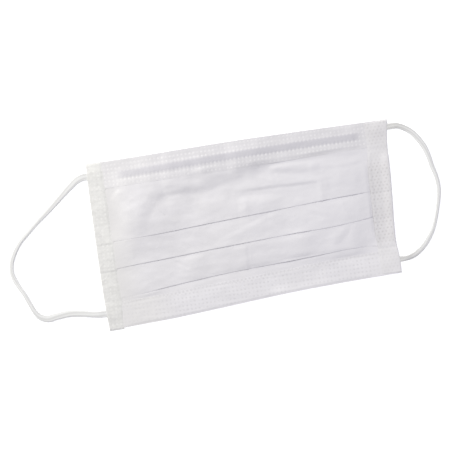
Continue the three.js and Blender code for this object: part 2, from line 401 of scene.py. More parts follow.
@dataclass(frozen=True)
class KnittedElastic(Finish):
    """Polyester and elastane knitted into a soft tube: matt, with painted shade in the gaps between its
    stitches.
    """

    # the painted shade between its stitches
    gap_shade_colour: str
    roughness: float = 0.78
    sheen: float = 0.2
    yarn: float = 0.35  # mm, the fluff of the textured yarn
    yarn_depth: float = 0.10  # mm

    def look(self, tree: bpy.types.NodeTree) -> dict[str, object]:
        """Painted shade in the gaps between stitches, where the cord's own gap shade attribute has it,
        and fluff as relief.

        Args:
            tree: The material's node tree.

        Returns:
            What goes into each socket of the surface shader.
        """
        place = add_node(tree, "TexCoord", "Object")
        inputs = {"Vector": place, "Scale": per_metre(self.yarn), "Detail": 4.0}
        fluff = add_node(tree, "TexNoise", "Fac", inputs)
        # painted shade between the stitches, from the cord's own attribute
        gap_shade = add_node(tree, "Attribute", "Fac", attribute_name="gap_shade")
        inputs = {0: gap_shade, 6: linear(self.colour), 7: linear(self.gap_shade_colour)}
        colour = add_node(tree, "Mix", 2, inputs, data_type="RGBA")
        inputs = {"Height": fluff, "Strength": 0.5, "Distance": self.yarn_depth * MM}
        return {
            "Base Color": colour,
            "Roughness": self.roughness,
            "Sheen Weight": self.sheen,
            "Sheen Roughness": 0.5,
            "Normal": add_node(tree, "Bump", "Normal", inputs),
        }


@dataclass(frozen=True)
class StudioPaper(Finish):
    """Bright white background paper, lit until it is as good as white everywhere."""

    glow: float

    def look(self, tree: bpy.types.NodeTree) -> dict[str, object]:
        """Matt paper without any gloss, which glows a little.

        Args:
            tree: The material's node tree, which needs no nodes of its own here.

        Returns:
            What goes into each socket of the surface shader.
        """
        return {
            "Base Color": linear(self.colour),
            "Roughness": 0.9,
            "Specular IOR Level": 0.0,
            "Emission Color": (1.0, 1.0, 1.0, 1.0),
            "Emission Strength": self.glow,
        }


# ---------------------------------------------------------------- creases, waves and welds


@dataclass(frozen=True)
class Crease:
    """A ridge or a dent in the cloth along a short bent line.

    Attributes:
        points: The line in the plan, in mm.
        height: How far the cloth rises along it, or falls if it is negative.
        left: How far the cloth is bent on the left of the line, looking along it.
        right: How far it is bent on the right.
        fade: The share of the line at its start over which it dies out.
        tail: The same at its end.
    """

    points: tuple[tuple[float, float], ...]
    height: float
    left: float
    right: float
    fade: float = 0.3
    tail: float = 0.3

    def at(self, x: Array, y: Array) -> Array:
        """Find the height that this crease adds.

        Args:
            x: Places along the mask.
            y: Places across it.

        Returns:
            The height at each place.
        """
        nearest = np.full(x.shape, np.inf)
        signed = np.zeros(x.shape)
        run = np.zeros(x.shape)
        line = np.array(self.points)
        lengths = np.hypot(*(line[1:] - line[:-1]).T)
        before = 0.0
        for (x0, y0), (x1, y1), length in zip(line[:-1], line[1:], lengths):
            dx, dy = (x1 - x0) / length, (y1 - y0) / length
            share = np.clip((x - x0) * dx + (y - y0) * dy, 0.0, length)
            away_x, away_y = x - x0 - dx * share, y - y0 - dy * share
            distance = np.hypot(away_x, away_y)
            closer = distance < nearest
            nearest = np.where(closer, distance, nearest)
            signed = np.where(closer, dx * away_y - dy * away_x, signed)
            run = np.where(closer, before + share, run)
            before += length
        reach = np.where(signed >= 0, self.left, self.right)
        across = np.clip(1.0 - (nearest / reach) ** 2, 0.0, 1.0) ** 2
        start, end = (max(share * before, 1e-6) for share in (self.fade, self.tail))
        along = smooth(0.0, start, run) * smooth(before, before - end, run)
        return self.height * across * mix(0.08, 1.0, along)


@dataclass(frozen=True)
class Waves:
    """Soft irregular waves in cloth, the same on every run.

    Attributes:
        length: Their usual length along x, in mm.
        breadth: Their usual breadth along y, in mm.
        height: Their usual height, in mm.
        seed: Which stretch of the noise they come from.
        ridged: Whether they meet in sharp creases.
    """

    length: float
    breadth: float
    height: float
    seed: float
    ridged: bool = False

    def at(self, x: Array, y: Array) -> Array:
        """Find the height that these waves add.

        Args:
            x: Places along the mask.
            y: Places across it.

        Returns:
            The height at each place.
        """
        found = np.empty(x.size)
        for i, (a, b) in enumerate(zip(x.ravel() / self.length, y.ravel() / self.breadth)):
            spot = Vector((a + self.seed, b - self.seed, self.seed))
            if self.ridged:
                found[i] = noise.ridged_multi_fractal(spot, 1.0, 2.1, 3, 1.0, 2.0) - 1.1
            else:
                found[i] = noise.fractal(spot, 1.0, 2.1, 3)
        return self.height * found.reshape(x.shape)


@dataclass(frozen=True)
class WeldGrid:
    """Rows of small dents where an ultrasonic wheel has welded the layers together.

    Attributes:
        pitch: From dot to dot along x and along y, in mm.
        radius: Of one dot, in mm.
        depth: Of one dot, in mm.
        skew: How far each row is shifted against the last, as a share of the pitch.
        loss: The share of dots that hardly show.
    """

    pitch: tuple[float, float]
    radius: float
    depth: float
    skew: float = 0.0
    loss: float = 0.25

    def dots(self, x: Array, y: Array) -> Array:
        """Find how much of a dot there is.

        Args:
            x: Places along the mask.
            y: Places across it.

        Returns:
            From 0 between the dots to 1 in the middle of a clear one.
        """
        row = np.round(y / self.pitch[1])
        shift = self.skew * row * self.pitch[0]
        column = np.round((x - shift) / self.pitch[0])
        away = np.hypot(x - shift - column * self.pitch[0], y - row * self.pitch[1])
        chance = np.modf(np.abs(np.sin(row * 12.9898 + column * 78.233) * 437.585))[0]
        strength = mix(0.35, 1.0, smooth(self.loss - 0.2, self.loss + 0.3, chance))
        return strength * smooth(self.radius, 0.25 * self.radius, away)


# ---------------------------------------------------------------- mesh makers


def bent_grid(name: str, places: Array, traits: dict[str, Array]) -> bpy.types.Mesh:
    """Bend a plain grid.

    Args:
        name: The mesh's name.
        places: Where each grid point goes, in mm, as rows of columns of points.
        traits: Values that the finish reads, one for each grid point.

    Returns:
        The mesh, in metres.
    """
    rows, columns = places.shape[0] - 1, places.shape[1] - 1
    bm = bmesh.new()
    bmesh.ops.create_grid(bm, x_segments=columns, y_segments=rows, size=1.0)
    mesh = bpy.data.meshes.new(name)
    bm.to_mesh(mesh)
    bm.free()
    flat = np.empty(len(mesh.vertices) * 3)
    mesh.vertices.foreach_get("co", flat)
    x, y, _ = flat.reshape(-1, 3).T
    row = np.rint((y.max() - y) / (y.max() - y.min()) * rows).astype(int)
    column = np.rint((x - x.min()) / (x.max() - x.min()) * columns).astype(int)
    mesh.vertices.foreach_set("co", (places[row, column] * MM).ravel())
    for trait, values in traits.items():
        attribute = mesh.attributes.new(trait, "FLOAT", "POINT")
        attribute.data.foreach_set("value", values[row, column].astype(np.float32))
    return mesh


def finished(mesh: bpy.types.Mesh, name: str, material: bpy.types.Material) -> bpy.types.Object:
    """Make an object of a mesh, smooth and with its material.

    Args:
        mesh: The finished mesh, in metres.
        name: The piece's name.
        material: Its finish.

    Returns:
        The new object, at the origin.
    """
    mesh.shade_smooth()
    mesh.materials.append(material)
    piece = bpy.data.objects.new(name, mesh)
    bpy.context.scene.collection.objects.link(piece)
    return piece


def cloth_sheet(
    name: str, places: Array, wall: float, material: bpy.types.Material, traits: dict[str, Array]
) -> bpy.types.Object:
    """Bend a grid into a piece of cloth and give it its thickness.

    Args:
        name: The piece's name.
        places: The points of its middle, in mm, as rows of columns of points.
        wall: The cloth's thickness, in mm.
        material: Its finish.
        traits: Values that the finish reads, one for each point.

    Returns:
        The new object.
    """
    mesh = bent_grid(name, places, traits)
    bm = bmesh.new()
    bm.from_mesh(mesh)
    bm.normal_update()
    for vert, normal in [(vert, vert.normal.copy()) for vert in bm.verts]:
        vert.co += normal * (0.5 * wall * MM)
    bmesh.ops.solidify(bm, geom=bm.faces[:], thickness=wall * MM)
    bmesh.ops.recalc_face_normals(bm, faces=bm.faces)
    bm.to_mesh(mesh)
    bm.free()
    piece = finished(mesh, name, material)
    mesh.set_sharp_from_angle(angle=CUT_EDGE)
    return piece


def closed_tube(
    name: str, rings: Array, material: bpy.types.Material, traits: dict[str, Array]
) -> bpy.types.Object:
    """Wrap a grid round a line into a tube and close its ends.

    Args:
        name: The piece's name.
        rings: The points of each ring, in mm; the last point of a ring repeats its first.
        material: Its finish.
        traits: Values that the finish reads, one for each ring point.

    Returns:
        The new object.
    """
    mesh = bent_grid(name, rings, traits)
    bm = bmesh.new()
    bm.from_mesh(mesh)
    bmesh.ops.remove_doubles(bm, verts=bm.verts, dist=0.002 * MM)
    bmesh.ops.holes_fill(bm, edges=[e for e in bm.edges if e.is_boundary], sides=0)
    bmesh.ops.recalc_face_normals(bm, faces=bm.faces)
    bm.to_mesh(mesh)
    bm.free()
    return finished(mesh, name, material)


def settle(piece: bpy.types.Object, node: str) -> bpy.types.Object:
    """Put a piece in the place of its CAD node.

    Args:
        piece: The finished piece.
        node: The CAD node that it stands for.

    Returns:
        The same piece.
    """
    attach(piece, BODY)
    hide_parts(node)
    LOG.info("%s: %d vertices", piece.name, len(piece.data.vertices))
    return piece


# ---------------------------------------------------------------- how the cloth lies


PLEAT_ROWS = (
    # x, and the first, second and third fold
    (-78.3, 1.5, -14.25, -31.65),
    (-69.0, 1.7, -13.65, -31.15),
    (-60.0, 2.0, -13.15, -30.05),
    (-50.0, 2.4, -12.65, -28.95),
    (-29.0, 3.6, -11.45, -27.05),
    (0.0, 5.2, -10.05, -25.25),
    (13.0, 5.8, -9.45, -24.75),
    (28.0, 6.6, -8.85, -24.05),
    (46.0, 7.6, -8.45, -23.05),
    (54.0, 8.0, -7.95, -22.55),
    (64.0, 8.4, -7.05, -22.45),
    (72.2, 8.7, -6.15, -22.95),
)

LIFTS = (
    # the stiff upper hem and the left of the first pleat stand off the surface, and the cloth
    # steps down from them to the middle of the mask
    Crease(
        ((-66.5, 0), (-65.5, 7), (-64.5, 12), (-61, 19.5), (-55, 26), (-44, 30)),
        height=1.3,
        left=24.0,
        right=9.0,
        fade=0.5,
        tail=0.2,
    ),
    Crease(((-63, -12), (-62, 2), (-60, 12), (-54, 21), (-44, 26)), 1.6, 24.0, 23.0, 0.48, 0.3),
    Crease(((-47, -12), (-45, 13), (-42, 27), (-40, 52)), 0.6, 40.0, 18.0, 0.35, 0.0),
    Crease(
        ((-57, 26.5), (-46, 31.4), (-36, 30.2), (-24, 29.0), (-12, 31.9), (0, 35), (14, 37), (72, 38.5)),
        height=1.55,
        left=60.0,
        right=8.0,
        fade=0.14,
        tail=0.55,
    ),
    Crease(((-28, 32.5), (-18, 33.5), (-6, 35)), 0.60, 24.0, 6.5),
    Crease(((-12, 35.2), (0, 35.8), (10, 36), (22, 36.5)), 0.50, 24.0, 6.5),
    Crease(((-60, -12), (-58, 20), (-58, 52)), 0.75, 24.0, 70.0, 0.45, 0.0),
    Crease(((-90, 33.4), (-74, 33.3), (-56, 32.2)), 0.9, 9.0, 6.5, 0.1, 0.5),
    Crease(((-42, 29.2), (-30, 28.0), (-20, 27.8), (-10, 29.5)), 0.45, 30.0, 6.0, 0.35, 0.35),
    Crease(((-36, 33.6), (-25, 34.2), (-12, 36.6)), 0.45, 24.0, 3.2, 0.3, 0.4),
    Crease(((-22, 36.8), (0, 38.5), (12, 38.8), (24, 38.5)), 0.35, 24.0, 3.5, 0.45, 0.3),
    Crease(((-8, 31), (2, 30), (11, 27.5)), 0.55, 30.0, 6.0, 0.35, 0.35),
    # the light fold in the middle of the first pleat
    Crease(((-5, 12.9), (6, 12.3), (24, 10.6)), 1.35, 4.8, 11.0, 0.22, 0.5),
    # the cloth falls away along the lower pleats, and in front of the right band
    Crease(((-60, -13), (0, -10), (40, -8.5), (74, -6)), 1.3, 60.0, 15.0, 0.45, 0.35),
    Crease(((18, -24), (45, -22.4), (60, -22.0), (74, -22)), 0.6, 60.0, 6.5, 0.5, 0.3),
    Crease(((42, -24.3), (56, -24.1), (68, -23.2)), 0.65, 20.0, 3.2, 0.3, 0.35),
    Crease(((-42, -3), (-42, 12)), 0.4, 16.0, 24.0, 0.3, 0.3),
    Crease(((73.2, -21), (73.2, 0), (73.6, 27)), 0.4, 40.0, 1.2, 0.15, 0.12),
    Crease(((34, -3), (50, -2), (72, -0.5)), 0.45, 9.0, 10.0, 0.3, 0.2),
    Crease(((4, -43.5), (20, -42.6), (52, -41.6)), 0.6, 5.5, 20.0),
    Crease(((-5, -2), (-5, -50)), 0.5, 16.0, 30.0, 0.3, 0.0),
    Crease(((-54, -14), (-51, 4), (-46, 26)), 0.3, 30.0, 18.0, 0.5, 0.25),
    Crease(((-47, 15), (-41, 21), (-30, 25)), 0.7, 24.0, 12.0, 0.4, 0.4),
    Crease(((-32, 14), (-12, 13), (6, 14)), 0.32, 40.0, 11.0, 0.4, 0.3),
)

CREASES = (
    # the short smudges under the left of the upper hem
    Crease(((-81, 33), (-74, 32.7), (-69, 32.4)), 0.20, 2.5, 1.6),
    Crease(((-76.5, 24.0), (-69.5, 31)), 0.70, 2.6, 7.0, 0.25, 0.2),
    # under the middle of the upper hem, where the cloth is drawn together
    Crease(((-53, 25), (-45, 25.5), (-34, 26.0)), 0.20, 2.0, 2.5),
    Crease(((-30, 34.2), (-24, 34.8), (-19, 35.8)), 0.16, 2.0, 1.6),
    # the blunt folds that run on to the right of it
    Crease(((15, 32.4), (30, 30.2), (47, 26.8)), 0.95, 5.0, 5.0, 0.2, 0.2),
    Crease(((-8, 21), (4, 21), (20, 20.8), (34, 20.3), (47, 20.0)), 0.66, 7.0, 2.1, 0.34, 0.13),
    Crease(((16, 29.5), (19.0, 21)), 0.12, 2.0, 1.2),
    Crease(((20.5, 29), (22, 21.5)), 0.10, 1.2, 1.2),
    Crease(((9, 26.5), (17, 24), (26, 20.8)), 0.12, 2.5, 2.2),
    # under the right of the upper hem
    Crease(((30, 33.6), (37, 35), (50, 36.4), (60, 37.5), (72, 38.4), (85, 38)), 0.60, 9.0, 4.0),
    Crease(((38, 28.4), (50, 27.0), (58, 26.6), (74, 27.4)), 0.5, 7.0, 40.0, 0.25, 0.5),
    Crease(((44, 27.6), (58, 26.4), (72, 27.2)), 0.14, 3.0, 1.4, 0.3, 0.3),
    Crease(((50, 17.2), (60, 16.5), (70, 17)), 0.3, 6.0, 8.0),
    Crease(((52, 46.6), (62, 46.8), (74, 46.4)), 0.3, 2.5, 2.5),
    Crease(((38, 30.5), (44, 32.5), (47, 33.5)), 0.10, 1.2, 1.2),
    Crease(((45.2, 26), (45.6, 16), (44.6, 6.0)), 0.22, 3.4, 3.0, 0.4, 0.1),
    Crease(((48.6, 24), (48.9, 16), (48.6, 9)), 0.10, 1.0, 2.0),
    Crease(((52, 22), (60, 21), (70, 20.5)), 0.12, 4.0, 5.0),
    Crease(((56, 26), (59.5, 23.5), (63, 22.8)), 0.10, 1.0, 1.0),
    # the second pleat
    Crease(((-20, -8.6), (-8, -4.8), (2, -1.5), (12, 0.9)), 0.34, 2.8, 5.5),
    Crease(((4, -1.5), (11, 1.5), (18, 5.5)), 0.25, 3.5, 6.0),
    Crease(((14, 0), (19, 6)), 0.35, 4.0, 9.0),
    Crease(((-5, -8.5), (8, -4), (20, 1)), 0.12, 2.5, 3.5),
    Crease(((34, 5.2), (41, 2), (49, -1.6)), 0.24, 2.4, 2.4),
    Crease(((24, 4), (33, 1), (42, -4)), 0.12, 2.2, 3.0),
    Crease(((54, 6), (57, 0), (59, -6)), 0.16, 3.0, 5.0),
    Crease(((-48, 0), (-36, -3), (-26, -9)), 0.18, 3.5, 4.0),
    # the third pleat
    Crease(((-46, -14.6), (-41, -17.2), (-36, -20.8)), -0.34, 1.4, 1.6),
    Crease(((-34, -10), (-34.5, -19), (-36, -28)), 0.70, 10.0, 11.0, 0.3, 0.2),
    Crease(((-3.9, -11.5), (-4.0, -18), (-4.6, -26)), 0.36, 2.6, 8.0, 0.1, 0.1),
    Crease(((-0.6, -12), (-0.8, -18), (-0.6, -23)), 0.10, 1.2, 2.5),
    Crease(((29, -5), (29.5, -16), (30, -24)), 0.60, 10.0, 14.0, 0.3, 0.2),
    Crease(((45, -18.5), (51.5, -14), (58, -8.6)), 0.32, 4.5, 3.5),
    Crease(((56, -20), (60, -14), (62, -8)), 0.16, 3.0, 5.0),
    Crease(((6, -18.6), (16, -19.0), (28, -19.6)), 0.14, 3.5, 2.2),
    Crease(((-44, -26), (-15, -23.6), (15, -22.2), (45, -21.4), (69, -20.8)), 0.4, 6.0, 2.2, 0.3, 0.12),
    # below the last fold
    Crease(((-79, -33.4), (-70, -32.5), (-62, -31.4), (-53, -29.9)), 1.1, 1.4, 1.9),
    Crease(((9, -27), (18, -27.4), (27, -27)), 0.16, 1.6, 2.0),
    Crease(((12, -24.4), (30, -24.4), (46, -23.6)), 0.5, 1.5, 2.2),
    Crease(((12, -29.5), (27, -29.5), (42, -29)), 0.26, 3.5, 3.0),
    Crease(((-10, -29), (0, -28.8), (9, -28.4)), 0.14, 1.4, 1.6),
)

WAVES = (
    Waves(34.0, 13.0, 0.28, 3.7),
    Waves(13.0, 6.0, 0.12, 11.3),
    Waves(4.4, 2.4, 0.05, 5.3),
    Waves(16.0, 9.0, 0.08, 23.9, ridged=True),
)


class Drape:
    """How the layers of the mask lie on each other, which every piece of it shares.

    Layers are counted from the surface up: 0, 1 and 2. In the open they have some air between
    them, and inside the side bands they are pressed flat. Places and heights are in mm.
    """

    LOWEST = 0.20  # mm, the middle of layer 0 in the open
    PITCH = 0.175  # from layer to layer in the open
    PRESSED_LOWEST = 0.36  # the same inside a band, on the band's lower wall
    PRESSED_PITCH = 0.14
    FLOOR = 0.12  # the lowest that the middle of the panel lies
    PLEAT_DEPTH = 8.0
    LEFT_RUN_OUT = 12.5  # from a band's edge to where the cloth lies open
    LEFT_STEEPNESS = 0.5  # how soon it starts to rise there
    RIGHT_RUN_OUT = 1.9  # the same between the pleats' ends
    HEM_RUN_OUT = 9.0  # and along the hems, taken on between these y:
    CHIN_HEM = (-20.0, -27.0)
    NOSE_HEM = (26.0, 33.0)
    # y, and how far the left band's inner edge stands off the surface there
    HOVER = Line(
        (-50.0, -40.0, -28.0, -14.0, -7.0, 2.0, 9.0, 22.0, 50.0),
        (0.2, 0.28, 0.3, 0.36, 0.8, 0.9, 0.5, 1.15, 1.8),
    )
    HOVER_RUN = 26.0  # and the panel comes down from it over this length
    CURL = 2.3  # how far the lower right corner curls up, taken on between these x and y:
    CURL_X = (48.0, 92.0)
    CURL_Y = (-10.0, -44.0)
    IRONED = 0.92  # how much of the creases and waves a band presses out

    def __init__(self) -> None:
        """Read the outlines from the frame."""
        self.hems = {edge: StripOutline(f"{edge.name.lower()}_hem", 0, 12) for edge in Edge}
        self.bands = {
            side: StripOutline(f"side_band_{side.name.lower()}", 1, 12) for side in Side
        }
        self.wire = StripOutline("nose_wire", 0, 4)
        x, *folds = zip(*PLEAT_ROWS)
        self.folds = [Line(x, fold) for fold in folds]
        self.nose_line = self.hems[Edge.TOP].low  # where the panel goes into the upper hem
        self.chin_line = self.hems[Edge.BOTTOM].high  # and into the lower

    def pressed(self, x: Array, y: Array) -> Array:
        """How far the cloth is pressed flat by the bands.

        Args:
            x: Places along the mask.
            y: Places across it.

        Returns:
            From 0 in the open to 1 inside a band.
        """
        from_left = (x - self.bands[Side.LEFT].high.at(y)) / self.LEFT_RUN_OUT
        by_a_hem = smooth(*self.CHIN_HEM, y) + smooth(*self.NOSE_HEM, y)
        run_out = mix(self.RIGHT_RUN_OUT, self.HEM_RUN_OUT, by_a_hem)
        from_right = (self.bands[Side.RIGHT].low.at(y) - x) / run_out
        steep = 1.0 - (1.0 - np.clip(from_left, 0.0, 1.0)) ** 2
        free = mix(smooth(0.0, 1.0, from_left), steep, self.LEFT_STEEPNESS)
        return 1.0 - np.minimum(free, smooth(0.0, 1.0, from_right))

    def height(self, layer: float | Array, pressed: Array) -> Array:
        """The height of a layer's middle, before any creases.

        Args:
            layer: The layer, or part of the way from one to the next.
            pressed: How far the cloth is pressed flat there.

        Returns:
            The height in mm.
        """
        in_the_open = self.LOWEST + layer * self.PITCH
        in_a_band = self.PRESSED_LOWEST + layer * self.PRESSED_PITCH
        return mix(in_the_open, in_a_band, pressed)

    def lift(self, x: Array, y: Array, pressed: Array) -> Array:
        """How far all the layers together stand off the surface."""
        return sum(feature.at(x, y) for feature in LIFTS) * (1.0 - pressed) + self.hover(x, y)

    def hover(self, x: Array, y: Array) -> Array:
        """How far the left band's inner edge and the curled corner are off the surface.

        Args:
            x: Places along the mask.
            y: Places across it.

        Returns:
            The height in mm.
        """
        outer, inner = (edge.at(y) for edge in self.bands[Side.LEFT].edges(Side.LEFT))
        in_band = np.clip((x - outer) / (inner - outer), 0.0, 1.0)
        rise = self.HOVER.at(np.clip(y, self.HOVER.places[0], self.HOVER.places[-1]))
        held = rise * in_band * smooth(self.HOVER_RUN, 0.0, x - inner)
        return held + self.CURL * smooth(*self.CURL_X, x) * smooth(*self.CURL_Y, y)

    def relief(self, x: Array, y: Array, pressed: Array) -> Array:
        """The height that the creases and waves of the outer face add."""
        total = sum(feature.at(x, y) for feature in (*CREASES, *WAVES))
        return total * (1.0 - self.IRONED * pressed)


# ---------------------------------------------------------------- the pleated panel


@dataclass
class PleatedPanel:
    """The mask's cloth: one sheet with three pleats that open downwards.

    Its visible faces, the facets, are counted from 0 above the first fold to 3 below the last.
    """

    drape: Drape
    finish: Nonwoven
    cut_depth: float = 120.0  # mm, from edge to edge when it is unfolded
    wall: float = 0.16
    in_hem: float = 0.38  # the height of its middle inside a hem
    hem_tuck: float = 4.0  # how far its cut edges reach into the hems
    start: float = -85.6  # its ends, hidden inside the side bands
    end: float = 81.5
    columns: int = 224
    step: float = 0.72  # between rows on the faces that show
    turn_rows: int = 6
    hidden_rows: int = 6
    tuck_rows: int = 3
    bend: float = 0.2  # how far the turn at a pleat's edge stands out
    ramp: float = 1.5  # the cloth is level again this far above the pleat under it
    # the first face rises from so far off the hem's edge to so far off the first pleat's back
    crown: tuple[float, float] = (-9.0, -2.0)
    closed_left: tuple[float, ...] = (1.0, 0.5, 1.6)  # layers by which the left ends close up
    closed_right: tuple[float, ...] = (0.9, 1.0, 0.4)  # and the folds' right ends
    left_run: tuple[float, float] = (-40.0, -74.0)  # x from where they are open to closed
    right_run: tuple[float, float] = (0.0, 50.0)
    nose_run: tuple[float, float] = (-3.5, -0.2)  # off the upper hem's edge, led under it
    chin_run: tuple[float, float] = (3.0, 0.0)  # and off the lower hem's
    # how much of a crease is left beside a line, and how far off it is whole
    by_a_fold: tuple[float, float] = (0.15, 3.5)
    by_a_hem: tuple[float, float] = (0.25, 3.0)
    followed: tuple[float, float] = (0.12, 0.5)  # share of a ridge that layers 0 and 1 follow

    def level(self, x: Array, y: Array, facet: int) -> Array:
        """Find which layer a visible face of the sheet lies at.

        Args:
            x: Places along the mask.
            y: Places across it.
            facet: The face.

        Returns:
            The layer at each place, from 0 to 2.
        """
        drape, folds = self.drape, self.drape.folds
        if facet == 0:
            top = drape.nose_line.at(x) + self.crown[0]
            return 1.0 + smooth(top, folds[0].at(x) + drape.PLEAT_DEPTH + self.crown[1], y)
        above = folds[facet - 1].at(x)
        lowest = self.closed_left[facet - 1] * smooth(*self.left_run, x)
        lowest = lowest + self.closed_right[facet - 1] * smooth(*self.right_run, x)
        if facet == len(folds):
            return mix(lowest, 1.0, smooth(above, drape.chin_line.at(x), y))
        shoulder = folds[facet].at(x) + drape.PLEAT_DEPTH - self.ramp
        share = np.clip((y - above) / (shoulder - above), 0.0, 1.0)
        return mix(lowest, 2.0, mix(share, smooth(0.0, 1.0, share), 0.5))

    def face(self, x: Array, y: Array, facet: int) -> Array:
        """Find the height of a visible face's middle.

        The face is smoother beside a fold or a hem, and led under a hem where it meets one.

        Args:
            x: Places along the mask.
            y: Places across it.
            facet: The face.

        Returns:
            The height at each place.
        """
        drape = self.drape
        pressed = drape.pressed(x, y)
        lift, shape = drape.lift(x, y, pressed), drape.relief(x, y, pressed)
        if facet > 0:
            above, (least, whole) = drape.folds[facet - 1].at(x), self.by_a_fold
            shape = shape * mix(least, 1.0, smooth(above, above - whole, y))
        height = drape.height(self.level(x, y, facet), pressed) + lift
        if 0 < facet < len(drape.folds):
            return height + shape
        edge, (least, whole) = (drape.chin_line if facet else drape.nose_line).at(x), self.by_a_hem
        shape = shape * mix(least, 1.0, smooth(0.0, whole, np.abs(y - edge)))
        start, end = self.chin_run if facet else self.nose_run
        under = smooth(edge + start, edge + end, y)
        return mix(height + shape, self.tucked(x, edge) + lift, under)

    def hidden(self, x: Array, y: Array, layer: int) -> Array:
        """Find the height of the middle of a layer inside a pleat.

        Args:
            x: Places along the mask.
            y: Places across it.
            layer: 0 for the lower layer and 1 for the upper.

        Returns:
            The height at each place.
        """
        pressed = self.drape.pressed(x, y)
        shape = self.drape.relief(x, y, pressed)
        shape = np.where(shape < 0.0, shape, self.followed[layer] * shape)
        lift = self.drape.lift(x, y, pressed)
        return self.drape.height(float(layer), pressed) + lift + shape

    def tucked(self, x: Array, edge: Array) -> Array:
        """The height of its middle inside the hem with that edge, before the hem's lift."""
        pressed = self.drape.pressed(x, edge)
        return mix(self.in_hem, self.drape.height(1.0, pressed), pressed)

    def course(self, x: Array) -> list[tuple[Array, Array]]:
        """Follow the sheet from the nose to the chin.

        Args:
            x: The grid's places along the mask.

        Returns:
            The y and z of each row of the grid.
        """
        drape = self.drape
        start, bottom = drape.nose_line.at(x), drape.chin_line.at(x)
        pressed, height = drape.pressed(x, start), self.tucked(x, start)
        rows = steps(start + self.hem_tuck, start, self.tuck_rows)
        line = [(y, height + drape.lift(x, y, pressed)) for y in rows]
        for facet, fold in enumerate(drape.folds):
            edge = fold.at(x)
            lip = edge + 0.5 * self.wall + self.bend
            back = edge + drape.PLEAT_DEPTH - self.bend
            rows = steps(start, lip, round(float(np.mean(start - edge)) / self.step))
            line += [(y, self.face(x, y, facet)) for y in rows]
            upper, middle = self.face(x, lip, facet), self.hidden(x, lip, 1)
            line += half_turn(lip, -self.bend, upper, middle, self.turn_rows)
            line += [(y, self.hidden(x, y, 1)) for y in steps(lip, back, self.hidden_rows)]
            middle, lower = self.hidden(x, back, 1), self.hidden(x, back, 0)
            line += half_turn(back, self.bend, middle, lower, self.turn_rows)
            line += [(y, self.hidden(x, y, 0)) for y in steps(back, edge, self.hidden_rows)]
            start = edge
        rows = steps(start, bottom, round(float(np.mean(start - bottom)) / self.step))
        line += [(y, self.face(x, y, len(drape.folds))) for y in rows]
        height, end = self.tucked(x, bottom), bottom - self.hem_tuck
        for y in (*steps(bottom, end, self.tuck_rows), end):
            line.append((y, height + drape.lift(x, y, drape.pressed(x, y))))
        return line

    def build(self) -> bpy.types.Object:
        """Returns:
            The sheet.
        """
        x = np.linspace(self.start, self.end, self.columns + 1)
        y, z = (np.array(part) for part in zip(*self.course(x)))
        z = np.maximum(z, self.drape.FLOOR)
        places = np.stack([np.broadcast_to(x, y.shape), y, z], axis=-1)
        traits = {"weld": np.zeros(y.shape)}
        piece = cloth_sheet("pleated_panel", places, self.wall, self.finish.material(), traits)
        settle(piece, "pleated_panel")
        length = float(np.mean(np.linalg.norm(np.diff(places, axis=0), axis=2).sum(axis=0)))
        LOG.info("pleated_panel: %.1f mm long when it is unfolded", length)
        return piece


# ---------------------------------------------------------------- hems and side bands


@dataclass(kw_only=True)
class FoldedStrip:
    """A strip of cloth folded over one edge of the mask, with welds in its upper wall."""

    drape: Drape
    finish: Nonwoven
    welds: WeldGrid
    cut_width: float  # mm, before it is folded over
    wall: float = 0.20
    lower: float = 0.12  # mm, the middle of its lower wall
    turn_rows: int = 7
    lower_rows: int = 8
    upper_step: float = 0.38  # between the rows of its upper wall

    def under(self, along: Array, across: Array) -> Array:
        """The height of the lower wall's middle."""
        raise NotImplementedError

    def upper(self, along: Array, across: Array) -> tuple[Array, Array]:
        """The height of the upper wall's middle, and how much of a weld is there."""
        raise NotImplementedError

    def course(
        self, along: Array, outer: Array, inner: Array, reach: float
    ) -> tuple[Array, Array, Array]:
        """Follow the strip from its hidden cut edge round its fold to the one that shows.

        Args:
            along: The grid's places along the strip.
            outer: Where its fold lies, across it.
            inner: Where its cut edges lie.
            reach: How far its turn stands out; its sign is the way that it stands out.

        Returns:
            The places across the strip, the heights and the welds, as rows of the grid.
        """
        lip = outer - reach - math.copysign(0.5 * self.wall, reach)
        bare = np.zeros(along.shape)
        rows = [(at, self.under(along, at), bare) for at in steps(inner, lip, self.lower_rows)]
        lower, (upper, _) = self.under(along, lip), self.upper(along, lip)
        turn = half_turn(lip, reach, lower, upper, self.turn_rows)
        rows += [(at, height, bare) for at, height in turn]
        count = round(float(np.mean(np.abs(outer - inner))) / self.upper_step)
        rows += [(at, *self.upper(along, at)) for at in (*steps(lip, inner, count), inner)]
        across, heights, welds = (np.array(part) for part in zip(*rows))
        return across, heights, welds

    def make(
        self,
        name: str,
        slot: str,
        places: Array,
        traits: dict[str, Array],
        flat: tuple[float, float],
    ) -> bpy.types.Object:
        """Args:
            name: The piece's name, which is its CAD node's too.
            slot: The record's material slot for it; not used.
            places: The points of its middle.
            traits: Values that the finish reads, one for each point.
            flat: How far it reaches along x and along y when it is unfolded, in mm; not used.

        Returns:
            The piece.
        """
        piece = cloth_sheet(name, places, self.wall, self.finish.material(), traits)
        settle(piece, name)
        return piece


